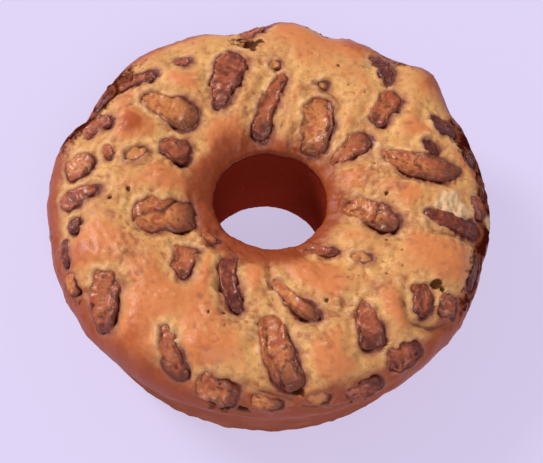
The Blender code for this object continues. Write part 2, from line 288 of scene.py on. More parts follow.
BROWNED = [
    (146, 77, 8, 7, 1.0),
    (131, 17, 9, 8, 0.7),
    (69, 86, 14, 7, 1.0),
    (205, 84, 9, 10, 0.6),
    (222, 78, 6, 6, 0.5),
    (270, 34, 8, 8, 0.4),
    (300, 36, 8, 8, 0.3),
    (345, 20, 12, 9, 0.2),
    (30, 65, 9, 6, 0.8),
    (4, 47, 8, 6, 0.5),
    (16, 84, 6, 5, 0.7),
    (40, 95, 7, 6, 0.5),
    (46, 28, 5, 10, 0.5),
    (249, 54, 7, 6, 0.4),
    (342, 58, 6, 5, 0.4),
    (119, 17, 8, 7, 0.4),
]
BURNT = [
    (344, 98, 24, 7, 1.2),
    (1, 100, 12, 6, 1.0),
    (14, 98, 16, 5, 1.1),
    (24, 91, 14, 7, 1.1),
    (154, 91, 20, 8, 1.3),
    (146, 86, 10, 5, 0.6),
    (170, 96, 10, 5, 0.5),
    (196, 103, 12, 5, 0.5),
    (214, 99, 10, 5, 0.7),
    (297, 104, 14, 4, 0.6),
    (264, 104, 12, 4, 0.6),
    (57, 90, 12, 6, 0.7),
    (81, 93, 9, 4, 0.7),
    (104, 76, 8, 6, 0.9),
]

# The view of the photograph
PHOTO_WIDTH = 543
SENSOR_WIDTH = 36
FOCAL_PIXELS = 1187.4
CAMERA_ELEVATION = radians(60.66)
CAMERA_ROLL = radians(5.54)
CAMERA_DISTANCE = 0.69085
CAMERA_TARGET = Vector((0.00228, -0.00396, 0.040))

# The studio: half the floor's width and how far it lies below the cake, and each panel of light
# with its place and size in metres and its power in watts
FLOOR_REACH = 4
FLOOR_DROP = 0.5 * MM
PANELS = (
    ("window_panel", (-4.2, 1.8, 4.1), 1.9, 275),
    ("front_panel", (0.8, -2.8, 3.4), 1.4, 52),
)


# The crust's section, closed: up the hole wall, over the crust, down the side and back underneath
def arch_point(turn):
    """Radius and height at a turn: the hole's edge at 0, the crown at pi / 2 and the rim at pi."""
    if turn < pi / 2:
        radius = CROWN_RADIUS - (CROWN_RADIUS - HOLE_RIM_RADIUS) * cos(turn)
        height = HOLE_RIM_HEIGHT + (CROWN_HEIGHT - HOLE_RIM_HEIGHT) * sin(turn)
    else:
        radius = CROWN_RADIUS - (RIM_RADIUS - CROWN_RADIUS) * cos(turn)
        height = RIM_HEIGHT + (CROWN_HEIGHT - RIM_HEIGHT) * sin(turn)
    return radius, height


def base_edge_point(turn):
    """Radius and height on the small round between the side wall and the underside."""
    radius = BASE_RADIUS - BASE_EDGE_RADIUS * (1 - cos(turn))
    return radius, BASE_EDGE_RADIUS * (1 - sin(turn))


# Its points, and how far over the crust each of them lies
SECTION = np.array(
    [(HOLE_BASE_RADIUS, 0.0)]
    + [arch_point(pi * step / HALF_TURN_STEPS) for step in range(HALF_TURN_STEPS + 1)]
    + [base_edge_point(pi / 2 * step / EDGE_STEPS) for step in range(EDGE_STEPS + 1)]
    + [(HOLE_BASE_RADIUS, 0.0)]
)
STRETCHES = np.hypot(*np.diff(SECTION, axis=0).T)
HOLE_DEPTH = STRETCHES[0]
OVER = np.concatenate([[0.0], np.cumsum(STRETCHES)]) - HOLE_DEPTH
CRUST_WIDTH = OVER[1 + HALF_TURN_STEPS]
SIDE_FOOT = OVER[2 + HALF_TURN_STEPS]
UNDERSIDE_START = OVER[2 + HALF_TURN_STEPS + EDGE_STEPS]
UNDERSIDE_END = OVER[-1]


def section_point(over):
    """Radius and height at distances over the crust in metres."""
    return np.interp(over, OVER, SECTION[:, 0]), np.interp(over, OVER, SECTION[:, 1])


def section_normal(over):
    """Unit vectors out of the cake in the section's plane, as radial and upward parts."""
    step = 0.5 * MM
    before = section_point(over - step)
    after = section_point(over + step)
    run = after[0] - before[0]
    rise = after[1] - before[1]
    length = np.hypot(run, rise)
    return -rise / length, run / length


def turn_from(clock, start):
    """The shorter way round from one clock angle to others, in radians."""
    return (clock - start + pi) % (2 * pi) - pi


def patches(clock, over, spots):
    """Sum of soft spots on the crust. The last number of each spot is its strength."""
    radius = section_point(over)[0]
    total = np.zeros_like(clock)
    for middle, middle_over, along, across, strength in spots:
        around = turn_from(clock, radians(middle)) * radius / (along * MM)
        outward = (over - middle_over * MM) / (across * MM)
        total += strength * np.exp(-0.5 * (around * around + outward * outward))
    return total


def swelling(clock, over):
    """How far the batter stands out from the plain ring, in metres."""
    return patches(clock, over, [spot[:5] for spot in SWELLINGS]) * MM


def crust_points(clock, over, lift):
    """Points at clock angles in radians and distances over the crust, standing out by lift."""
    radius, height = section_point(over)
    outward, upward = section_normal(over)
    radius = radius + outward * lift
    height = height + upward * lift
    return np.stack([radius * np.cos(clock), radius * np.sin(clock), height], axis=-1)


def smooth(value, low, high):
    """0 below low, 1 above high and an even S between them."""
    share = np.clip((value - low) / (high - low), 0.0, 1.0)
    return share * share * (3 - 2 * share)


def grain(points, size, seed=0.0):
    """Noise from -1 to 1 at each point, with lumps of the given size in metres."""
    spread = np.asarray(points) / size + (seed, 2.3 * seed, -1.7 * seed)
    return np.array([noise.noise(place) for place in spread.tolist()])


def ridges(points, size, seed=0.0):
    """Noise from -1 to 1 with sharp crests, as wrinkles have."""
    return 1 - 4 * np.abs(grain(points, size, seed))


# The slices: each has a heading on the unrolled crust, and a wavy outline about it
def heading(cut):
    """A slice's unit heading around the ring and outwards, its length, and the radius there."""
    middle_radius = float(section_point((cut.start_over + cut.end_over) / 2 * MM)[0])
    around = radians(cut.end - cut.start) * middle_radius
    outward = (cut.end_over - cut.start_over) * MM
    length = hypot(around, outward)
    return around / length, outward / length, length, middle_radius


def end_power(cut, along):
    """The power that rounds off a slice at each place along it, higher towards a pointed end."""
    return SLICE_BLUNTNESS + SLICE_POINTEDNESS * np.maximum(0, cut.point * along)


def half_width(cut, number, along, flank):
    """Half the width at each place along a slice, with two waves of its own on each flank."""
    draw = random.Random(number)
    phases = [draw.uniform(0, 2 * pi) for _ in range(4)]
    first = np.where(flank > 0, phases[0], phases[1])
    second = np.where(flank > 0, phases[2], phases[3])
    waves = 0.10 * np.sin(3.1 * along + first) + 0.07 * np.sin(8.7 * along + second)
    return cut.width * MM / 2 * (1 - cut.taper * along) * (1 + waves)


def lay_slice(cut, along, side, rise):
    """Points of a slice from places along it, -1 to 1, and metres sideways and out of the crust."""
    around, outward, length, middle_radius = heading(cut)
    mid_over = (cut.start_over + cut.end_over) / 2 * MM
    mid_clock = radians(cut.start + cut.end) / 2
    run = along * length / 2
    over = mid_over + run * outward + side * around
    clock = mid_clock + run * around / middle_radius - side * outward / section_point(over)[0]
    return crust_points(clock, over, swelling(clock, over) + rise)


def slice_outline(cut, number):
    """Points round a slice's outline where it meets the crust."""
    turn = np.linspace(0, 2 * pi, OUTLINE_POINTS, endpoint=False)
    along = np.cos(turn)
    flank = np.sign(np.sin(turn))
    fullness = np.abs(np.sin(turn)) ** end_power(cut, along)
    side = flank * fullness * half_width(cut, number, along, flank)
    side += cut.bow * MM * (1 - along * along)
    return lay_slice(cut, along, side, np.zeros_like(along))


def inside_slice(cut, number, clock, over):
    """Which places on the crust lie within a slice's outline."""
    around, outward, length, middle_radius = heading(cut)
    mid_over = (cut.start_over + cut.end_over) / 2 * MM
    turn = turn_from(clock, radians(cut.start + cut.end) / 2)
    radius = section_point(over)[0]
    out = over - mid_over
    stretch = radius / middle_radius
    scale = outward * outward + around * around * stretch
    run = (outward * out + around * turn * radius) / scale
    side = (around * stretch * out - outward * turn * radius) / scale
    along = run / (length / 2)
    room = np.clip(1 - along * along, 0, 1)
    side -= cut.bow * MM * room
    edge = half_width(cut, number, along, np.sign(side)) * room ** (end_power(cut, along) / 2)
    return (np.abs(along) < 1) & (np.abs(side) < edge)


def distance_to_fruit(clock, over, points):
    """Metres from each point to the nearest outline, negative under a slice, and whose it is."""
    outlines = [slice_outline(cut, number) for number, cut in enumerate(SLICES)]
    tree = kdtree.KDTree(sum(len(outline) for outline in outlines))
    owners = []
    for number, outline in enumerate(outlines):
        for place in outline.tolist():
            tree.insert(place, len(owners))
            owners.append(number)
    tree.balance()
    found = [tree.find(place) for place in points.tolist()]
    distance = np.array([hit[2] for hit in found])
    nearest = np.array([owners[hit[1]] for hit in found])
    for number, cut in enumerate(SLICES):
        distance = np.where(inside_slice(cut, number, clock, over), -np.abs(distance), distance)
    return distance, nearest


def distance_to_cracks(clock, over):
    """Metres from each place to the edge of the nearest crack, and that crack's depth in mm."""
    radius = section_point(over)[0]
    far_away = 1.0
    nearest = np.full_like(clock, far_away)
    deep = np.zeros_like(clock)
    for half, depth, *places in CRACKS:
        for (clock_a, over_a), (clock_b, over_b) in zip(places, places[1:]):
            turn = turn_from(clock, radians(clock_a))
            place = np.stack([turn * radius, over - over_a * MM], axis=1)
            around = radians(clock_b - clock_a) * radius
            span = np.stack([around, np.full_like(radius, (over_b - over_a) * MM)], axis=1)
            share = np.clip((place * span).sum(axis=1) / (span * span).sum(axis=1), 0, 1)
            gap = np.linalg.norm(place - share[:, None] * span, axis=1) - half * MM
            deep = np.where(gap < nearest, depth, deep)
            nearest = np.minimum(nearest, gap)
    return nearest, deep


# Making objects and their finishes
def linear(code, alpha=1.0):
    """An sRGB hex colour such as #D2A15F as linear red, green and blue, with alpha."""
    values = [int(code[start:start + 2], 16) / 255 for start in (1, 3, 5)]
    values = [
        value / 12.92 if value <= 0.04045 else ((value + 0.055) / 1.055) ** 2.4 for value in values
    ]
    return (*values, alpha)


def add_node(tree, kind, settings=None, links=None):
    """Add a node. Settings are properties, or inputs by name or number, and links are inputs."""
    node = tree.nodes.new(kind)
    for name, value in (settings or {}).items():
        if isinstance(name, str) and hasattr(node, name):
            setattr(node, name, value)
        else:
            node.inputs[name].default_value = value
    for name, output in (links or {}).items():
        tree.links.new(output, node.inputs[name])
    return node


def new_finish(name):
    """A new material, its node tree and its shader."""
    finish = bpy.data.materials.new(name)
    finish.use_nodes = True
    return finish, finish.node_tree, finish.node_tree.nodes["Principled BSDF"]


def read_surface(tree, place, stored, noises):
    """Outputs by name: numbers stored on a piece, and noises with lumps of given sizes in mm."""
    fields = {}
    for name in stored:
        fields[name] = add_node(
            tree, "ShaderNodeAttribute", {"attribute_name": name}
        ).outputs["Fac"]
    grains = {}
    for name, size, detail in noises:
        grains[name] = add_node(
            tree, "ShaderNodeTexNoise",
            {"Scale": 1 / (size * MM), "Detail": detail, "Roughness": NOISE_ROUGHNESS},
            {"Vector": place},
        ).outputs["Fac"]
    return fields, grains


def lay_masks(tree, fields, grains, rows):
    """Masks by name. Each row says which stored number the mask follows and by what factor, which
    noise frays it and by how much, between which sums of the two it rises, and its most."""
    masks = {}
    for name, field, factor, fray, share, low, high, most in rows:
        value = grains[fray]
        if field:
            scaled = add_node(
                tree, "ShaderNodeMath", {"operation": "MULTIPLY", 1: factor}, {0: fields[field]}
            ).outputs[0]
            value = add_node(
                tree, "ShaderNodeMath", {"operation": "MULTIPLY_ADD", 1: share},
                {0: grains[fray], 2: scaled},
            ).outputs[0]
        masks[name] = add_node(
            tree, "ShaderNodeMapRange",
            {"interpolation_type": "SMOOTHSTEP", "From Min": low, "From Max": high, "To Max": most},
            {"Value": value},
        ).outputs["Result"]
    return masks


def paint(tree, masks, ground, layers):
    """Lay colours over a ground colour in turn, each by its own mask. Returns the colour output."""
    surface = None
    for name, shade in layers:
        layer = add_node(
            tree, "ShaderNodeMix", {"data_type": "RGBA", 7: linear(shade)}, {0: masks[name]}
        )
        if surface:
            tree.links.new(surface, layer.inputs[6])
        else:
            layer.inputs[6].default_value = linear(ground)
        surface = layer.outputs[2]
    return surface


def roughen(tree, shader, broad, fine, share, strength, depth):
    """Stand a broad noise and a share of a fine one out of the surface as a bump."""
    grit = add_node(
        tree, "ShaderNodeMath", {"operation": "MULTIPLY_ADD", 1: share}, {0: fine, 2: broad}
    ).outputs[0]
    bump = add_node(
        tree, "ShaderNodeBump", {"Strength": strength, "Distance": depth}, {"Height": grit}
    )
    tree.links.new(bump.outputs["Normal"], shader.inputs["Normal"])


def new_piece(name, bm, finish, node):
    """An object from a bmesh, which stands in for one node of the solids."""
    mesh = bpy.data.meshes.new(name)
    bm.to_mesh(mesh)
    bm.free()
    mesh.materials.append(finish)
    mesh.shade_smooth()
    piece = bpy.data.objects.new(name, mesh)
    bpy.context.scene.collection.objects.link(piece)
    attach(piece, "root")
    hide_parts(node)
    return piece


def face_outwards(bm):
    """Turn all the faces of a closed skin outwards."""
    bmesh.ops.recalc_face_normals(bm, faces=bm.faces[:])
    if bm.calc_volume(signed=True) < 0:
        bmesh.ops.reverse_faces(bm, faces=bm.faces[:])


def store(mesh, name, values):
    """Keep one number for each vertex, for the material to read."""
    layer = mesh.attributes.new(name, "FLOAT", "POINT")
    layer.data.foreach_set("value", np.asarray(values, dtype=np.float32))


def get_points(mesh):
    """The places of a mesh's vertices, one row for each."""
    points = np.empty(len(mesh.vertices) * 3, dtype=np.float32)
    mesh.vertices.foreach_get("co", points)
    return points.reshape(-1, 3).astype(float)


def set_points(mesh, points):
    """Move a mesh's vertices."""
    mesh.vertices.foreach_set("co", points.astype(np.float32).ravel())
    mesh.update()


# The crust: one closed skin round the whole cake, spun from its section and then given its relief
def section_rows():
    """Distances over the crust of the skin's rows, all the way round the section."""
    return np.concatenate([
        np.linspace(-HOLE_DEPTH, 0, HOLE_ROWS, endpoint=False),
        np.linspace(0, CRUST_WIDTH, CRUST_ROWS, endpoint=False),
        np.linspace(CRUST_WIDTH, SIDE_FOOT, SIDE_ROWS, endpoint=False),
        np.linspace(SIDE_FOOT, UNDERSIDE_START, EDGE_ROWS, endpoint=False),
        np.linspace(UNDERSIDE_START, UNDERSIDE_END, UNDERSIDE_ROWS, endpoint=False),
    ])


def spin_section():
    """The closed section spun round the axis, each vertex with its distance over the crust."""
    bm = bmesh.new()
    reach = bm.verts.layers.float.new("over")
    corners = []
    for over in section_rows():
        radius, height = section_point(over)
        corner = bm.verts.new((radius, 0, height))
        corner[reach] = over
        corners.append(corner)
    for corner, following in zip(corners, corners[1:] + corners[:1]):
        bm.edges.new((corner, following))
    bmesh.ops.spin(
        bm, geom=bm.verts[:] + bm.edges[:], cent=(0, 0, 0), axis=(0, 0, 1),
        angle=2 * pi, steps=CRUST_STEPS, use_merge=True,
    )
    face_outwards(bm)
    return bm


def pit_marks(points, distance, ragged):
    """How deep the skin is pitted in metres, by the named pits and by small ones strewn about."""
    draw = random.Random(7)
    pits = list(PITS)
    for _ in range(LOOSE_PITS):
        middle = draw.uniform(0, 360)
        middle_over = draw.uniform(*LOOSE_PITS_OVER)
        pits.append((middle, middle_over, draw.uniform(*LOOSE_PIT_RADIUS), LOOSE_PIT_DEPTH))
    depth = np.zeros(len(points))
    for middle, middle_over, radius, deep in pits:
        centre = crust_points(radians(middle), middle_over * MM, 0.0)
        gap = np.linalg.norm(points - centre, axis=1) / (radius * MM) + 0.45 * ragged
        depth = np.maximum(depth, deep * MM * np.exp(-np.maximum(gap, 0) ** 3))
    return depth * smooth(distance, -1 * MM, 0.5 * MM)


def zones(over):
    """How far each place belongs to the top, the side, the hole's wall and the foot, 0 to 1."""
    top = smooth(over, -2 * MM, 4 * MM) * (1 - smooth(over, CRUST_WIDTH, CRUST_WIDTH + 12 * MM))
    side = smooth(over, CRUST_WIDTH - 4 * MM, CRUST_WIDTH + 6 * MM) * (over < UNDERSIDE_START)
    hole = np.where(over > UNDERSIDE_START, 0.0, 1 - smooth(over, -3 * MM, 5 * MM))
    foot = smooth(over, SIDE_FOOT - 9 * MM, SIDE_FOOT) * (over < UNDERSIDE_START - 0.5 * MM)
    return top, side, hole, foot


def fruit_edges(clock, over, plain, wobble):
    """Metres from each vertex to the nearest slice's outline, and to the ragged edge of the batter
    that laps over it, how far it laps in mm, how far towards the slice's shaded side the vertex
    lies, -1 to 1, which steers the painted shade round it, and the slice's tone."""
    distance, nearest = distance_to_fruit(clock, over, plain)
    tones = np.array([cut.tone for cut in SLICES])[nearest]
    centres = np.array([lay_slice(cut, 0.0, 0.0, 0.0) for cut in SLICES])[nearest]
    reach = np.array([cut.width * MM / 2 for cut in SLICES])[nearest]
    shade_side = np.clip((plain - centres) @ SHADED_SIDE / reach, -1, 1)
    # The batter laps further over pale slices and on their side towards the light, in clumps 8 mm
    # wide
    lap = 0.35 - 0.75 * shade_side + 2.2 * grain(plain, 8 * MM, 11) + 1.2 * smooth(tones, 0.7, 0.85)
    lap = np.clip(lap, -0.6, 2.0)
    return distance, distance + (lap + wobble) * MM, lap, shade_side, tones


def browning(clock, over, clear):
    """How far the batter has browned: on its swellings, in patches, and clear of the fruit."""
    tops = [spot[:4] + (spot[5],) for spot in SWELLINGS if spot[5] > 0]
    return patches(clock, over, tops) + patches(clock, over, BROWNED) + clear - 0.75


def rim_browning(clock, over):
    """How dark the crust is towards the rim and the hole, most at the hole's front left."""
    near_front = np.cos(clock - radians(240))
    by_hole = 1 - smooth(over - 3 * MM * near_front, 4 * MM, 28 * MM)
    return smooth(over, 80 * MM, 104 * MM) + (0.95 + 0.25 * near_front) * by_hole


def crust_relief(mesh):
    """Move the spun skin's vertices to the baked surface, and store what its material reads."""
    points = get_points(mesh)
    over = np.empty(len(points), dtype=np.float32)
    mesh.attributes["over"].data.foreach_get("value", over)
    over = over.astype(float)
    clock = np.arctan2(points[:, 1], points[:, 0])
    swell = np.where((over >= 0) & (over < UNDERSIDE_START), swelling(clock, over), 0.0)
    plain = crust_points(clock, over, swell)
    top, side, hole, foot = zones(over)

    # Noises, with lumps from 15 mm wide down to 1.3 mm
    coarse = grain(plain, 15 * MM, 1)
    middling = grain(plain, 6 * MM, 2)
    knobbly = grain(plain, 3.7 * MM, 9)
    fine = grain(plain, 2.4 * MM, 3)
    finest = grain(plain, 1.3 * MM, 4)

    # What lies there: fruit and cracks nearby, in metres, crumbly and torn batter, and pits
    wobble = 0.8 * middling + 0.5 * fine + 0.3 * finest
    distance, ragged, lap, shade_side, tones = fruit_edges(clock, over, plain, wobble)
    clear = 1 - np.exp(-(np.maximum(distance, 0) / (6 * MM)) ** 2)
    crack, crack_depth = distance_to_cracks(clock, over)
    crack += (0.6 * middling + 0.4 * fine) * MM
    crumbly = patches(clock, over, CRUMBLY)
    crumbly += 0.75 * np.exp(-np.maximum(distance, 0) / (3.5 * MM)) + 0.5 * middling
    crumbly = np.clip(crumbly, 0, 1.2) * top
    torn = np.clip(patches(clock, over, TORN) * (1 + 0.5 * fine), 0, 1)
    pits = pit_marks(plain, distance, fine + 0.6 * finest) * top

    # The relief in mm: sunk under the slices, raised in a lip round them, and mounded between them
    # except at the rim
    sunk = -2.6 * smooth(-ragged, -0.2 * MM, 1.8 * MM)
    lip = 0.1 + 0.9 * middling + 0.9 * np.maximum(lap, 0)
    lip *= np.exp(-(distance / (2.6 * MM)) ** 2)
    mound = 2.3 * clear * (1 - 0.75 * smooth(over, 92 * MM, 108 * MM))
    relief = (sunk + lip + mound) * top
    relief -= crack_depth * np.exp(-(np.maximum(crack, 0) / (1.8 * MM)) ** 2) * top

    # Lumps, calmer at the rim and away from the fruit, and grit where it is crumbly or torn
    calm = np.maximum(smooth(over, 88 * MM, 104 * MM), 0.8 * smooth(distance, 4 * MM, 10 * MM))
    relief += top * (1.1 * coarse + (0.9 - 0.6 * calm) * middling + 0.2 * fine)
    relief += ((0.5 - 0.45 * calm) * top + 0.8 * crumbly) * knobbly
    relief += crumbly * (0.7 * fine + 0.3 * finest)
    relief += torn * (0.6 * ridges(plain, 3.2 * MM, 5) + 0.6 * fine + 0.7)
    relief -= pits / MM

    # Level wrinkles in the side wall, a rougher hole wall and a ragged foot over a flat underside
    flattened = points * (1, 1, 7)
    relief += side * (0.22 * grain(flattened, 20 * MM, 6) + 0.35 * coarse + 0.12 * middling)
    relief += hole * (0.3 * middling + 0.2 * fine + 0.15 * finest)
    relief += foot * 0.8 * (0.7 * grain(plain, 5 * MM, 8) + 0.4 * fine - 0.2)
    relief = np.where(over > UNDERSIDE_START - 0.1 * MM, 0.0, relief)
    set_points(mesh, crust_points(clock, over, swell + relief * MM))

    # For the material, with gap and cracked as frayed distances in mm that count on the top alone
    far_off = 9
    # The gap sets the stain and painted shade by the slices, further out on their shaded side
    gap = ragged / MM - 0.5 + 0.6 * tones - 0.9 * shade_side - 0.8 * coarse
    cracked = crack / MM + 0.5 * coarse + 0.6 * middling
    # Painted highlight: a pale lip of batter just off each slice's lit side
    lit_lip_highlight = np.exp(-((ragged - 1.6 * MM) / (1.6 * MM)) ** 2) * np.clip(0.5 - shade_side, 0, 1)
    # Painted light and shade on the lumps: high places lighter, low ones darker
    bump_shading = (0.9 * knobbly + 0.7 * fine) * (0.35 + crumbly) + lit_lip_highlight
    store(mesh, "browned", browning(clock, over, clear) + 0.22 * coarse)
    store(mesh, "rim", np.clip(rim_browning(clock, over) + 0.25 * coarse, 0, 1))
    store(mesh, "side", side)
    store(mesh, "hole", hole)
    store(mesh, "burnt", patches(clock, over, BURNT) + 0.2 * middling)
    store(mesh, "cracked", np.clip(np.where(top > 0.02, cracked, far_off), -4, far_off))
    store(mesh, "bump_shading", bump_shading * top)
    store(mesh, "gap", np.clip(np.where(top > 0.02, gap, far_off), -4, far_off))
    store(mesh, "crumbly", crumbly)
    store(mesh, "torn", torn)
    store(mesh, "pit", np.clip(pits / (1.2 * MM), 0, 1))


def build_crust(finish):
    """The crust's skin, in place of the plain ring."""
    piece = new_piece("baked_crust", spin_section(), finish, "cake")
    crust_relief(piece.data)


# The fruit: rounded slabs laid along the crust, each with its own curl, lumps, wrinkles and creases
def blunt(value, power):
    """A sine or cosine raised to a power with its sign kept, which squares off a round."""
    return np.sign(value) * np.abs(value) ** power


def even_turns(turns, cut, length, width):
    """Turns from end to end of a slice, respaced so that its rows lie evenly along its outline."""
    fine = np.linspace(0, pi, HALF_TURN_STEPS)
    outline_x = np.cos(fine) * length / 2
    outline_y = np.sin(fine) ** end_power(cut, np.cos(fine)) * width / 2
    steps = np.hypot(np.diff(outline_x), np.diff(outline_y))
    arc = np.concatenate([[0], np.cumsum(steps)])
    return np.interp(turns / pi * arc[-1], arc, fine)


def crease_depth(number, along, across, length, width):
    """How far the creases of one slice cut into it, in mm: two at random, and those named above."""
    draw = random.Random(100 + number)
    lines = []
    for _ in range(2):
        begin = draw.uniform(-0.7, 0.7)
        end = begin + draw.uniform(-0.5, 0.5)
        lines.append((-0.8, begin, 0.8, end, draw.uniform(0.4, 0.8), draw.uniform(0.45, 0.8)))
    lines += [crease[1:] for crease in CREASES if crease[0] == number + 1]
    depth = np.zeros_like(along)
    wander = 0.07 * np.sin(5 * along + number) * width
    for along_a, across_a, along_b, across_b, deep, breadth in lines:
        begin = np.array([along_a * length / 2, across_a * width / 2])
        span = np.array([along_b * length / 2, across_b * width / 2]) - begin
        place = np.stack([along * length / 2, across * width / 2 + wander], axis=1) - begin
        share = np.clip(place @ span / (span @ span), 0, 1)
        gap = np.linalg.norm(place - share[:, None] * span, axis=1)
        depth = np.maximum(depth, deep * np.exp(-(gap / (breadth * MM)) ** 2))
    return depth


def slice_relief(number, cut, along, across, length, width):
    """How far a slice's top stands out from a plain slab in mm, the folds' share of that, and how
    near each place is to the slice's edge, 1."""
    edge = (np.abs(along) ** 3 + np.abs(across) ** 3) ** (1 / 3)
    flat = np.stack([along * length / 2, across * width / 2, np.zeros_like(along)], axis=1)
    seed = number * 3.7
    warp = flat + 1.2 * MM * grain(flat, 3 * MM, seed + 3)[:, None]
    wrinkles = ridges(warp * (0.6, 1, 1), 2.6 * MM, seed)
    lumps = 0.7 * grain(warp, 6 * MM, seed + 1) + 0.65 * grain(warp, 3.2 * MM, seed + 4)
    fine = grain(flat, 1.5 * MM, seed + 2)
    creases = crease_depth(number, along, across, length, width)
    fold = (0.5 + 0.7 * cut.lumps) * (0.9 * lumps + 0.25 * wrinkles + 0.12 * fine) - 0.9 * creases
    # The rim curls up just inside the edge, and the middle sinks
    curl = np.exp(-((edge - 0.84) / 0.11) ** 2) * (0.6 + 0.9 * lumps)
    hollow = (0.3 + 0.7 * cut.curl) * (1 - smooth(edge, 0.1, 0.8))
    return fold + 1.2 * max(0.0, cut.curl - 0.35) * curl - hollow, fold, edge


def build_slice(number, cut, finish):
    """One slice: a ball stretched to a blunt slab, laid along the crust and given its relief."""
    length = heading(cut)[2]
    width = cut.width * MM
    thickness = min(SLICE_THICKNESS, 0.9 * width)
    steps_round = int(np.clip(2 * (width + thickness) / FACE_ROUND, 44, 110)) // 2 * 2
    steps_along = int(np.clip((length + width / 2) / FACE_ALONG, 24, 90))
    bm = bmesh.new()
    bmesh.ops.create_uvsphere(bm, u_segments=steps_round, v_segments=steps_along, radius=1)
    node = f"apple_slice_{number + 1:02d}"
    mesh = new_piece(f"browned_slice_{number + 1:02d}", bm, finish, node).data

    # The ball's poles become the slice's two ends
    ball = get_points(mesh)
    turns = even_turns(np.arccos(np.clip(ball[:, 2], -1, 1)), cut, length, width)
    along = np.cos(turns)
    fullness = np.sin(turns) ** end_power(cut, along)
    ring = np.maximum(np.hypot(ball[:, 0], ball[:, 1]), 1e-6)
    across = blunt(ball[:, 0] / ring, SLICE_SQUARENESS) * fullness
    up = blunt(ball[:, 1] / ring, SLICE_SQUARENESS) * fullness
    side = across * half_width(cut, number, along, np.sign(across))
    side += cut.bow * MM * (1 - along * along)
    relief, fold, edge = slice_relief(number, cut, along, across, length, width)
    on_top = smooth(up, 0.05, 0.6)
    rise = up * thickness / 2 + cut.proud * MM - thickness / 2 + (relief - 0.5) * on_top * MM
    points = lay_slice(cut, along, side, rise)
    set_points(mesh, points)
    bm = bmesh.new()
    bm.from_mesh(mesh)
    face_outwards(bm)
    bm.to_mesh(mesh)
    bm.free()

    # The edge number rises on the slice's shaded side, so its dark rim is partly painted shade
    shade_side = np.clip((points - points.mean(axis=0)) @ SHADED_SIDE / (width / 2), -1, 1)
    store(mesh, "edge", edge + 0.25 * shade_side)
    store(mesh, "fold", np.clip(fold, -1.5, 1.5) * on_top)
    store(mesh, "tone", np.full(len(ball), cut.tone))
    store(mesh, "low", 1 - on_top)


# Finishes
def wandering_cracks(tree, wander, crumbly):
    """Painted shade along fine cracks in crumbly batter: lines where a noise is at its middle."""
    off = add_node(
        tree, "ShaderNodeMath", {"operation": "SUBTRACT", 1: 0.5}, {0: wander}
    ).outputs[0]
    off = add_node(tree, "ShaderNodeMath", {"operation": "ABSOLUTE"}, {0: off}).outputs[0]
    line = add_node(
        tree, "ShaderNodeMath", {"operation": "MULTIPLY_ADD", 1: -16.0}, {0: off, 2: crumbly}
    ).outputs[0]
    return add_node(
        tree, "ShaderNodeMapRange",
        {"interpolation_type": "SMOOTHSTEP", "From Min": -0.2, "From Max": 1.0, "To Max": 0.25},
        {"Value": line},
    ).outputs["Result"]


def batter_gloss(tree, shader, masks, browned):
    """Satin batter, glossier where it has browned and duller on crumb. Open pores take the shine
    off the side wall, the hole's wall, pits and burnt batter."""
    rough = add_node(
        tree, "ShaderNodeMapRange", {"From Max": 1.2, "To Min": 0.56, "To Max": 0.36},
        {"Value": browned},
    ).outputs["Result"]
    for name, roughness in (("rim", 0.46), ("crumb", 0.62)):
        rough = add_node(
            tree, "ShaderNodeMix", {"data_type": "FLOAT", 3: roughness}, {0: masks[name], 2: rough}
        ).outputs[0]
    tree.links.new(rough, shader.inputs["Roughness"])
    dull = masks["side"]
    for name in ("hole", "pit", "burnt"):
        dull = add_node(
            tree, "ShaderNodeMath", {"operation": "MAXIMUM"}, {0: dull, 1: masks[name]}
        ).outputs[0]
    shine = add_node(
        tree, "ShaderNodeMapRange", {"To Min": 0.45, "To Max": 0.0}, {"Value": dull}
    ).outputs["Result"]
    tree.links.new(shine, shader.inputs["Specular IOR Level"])


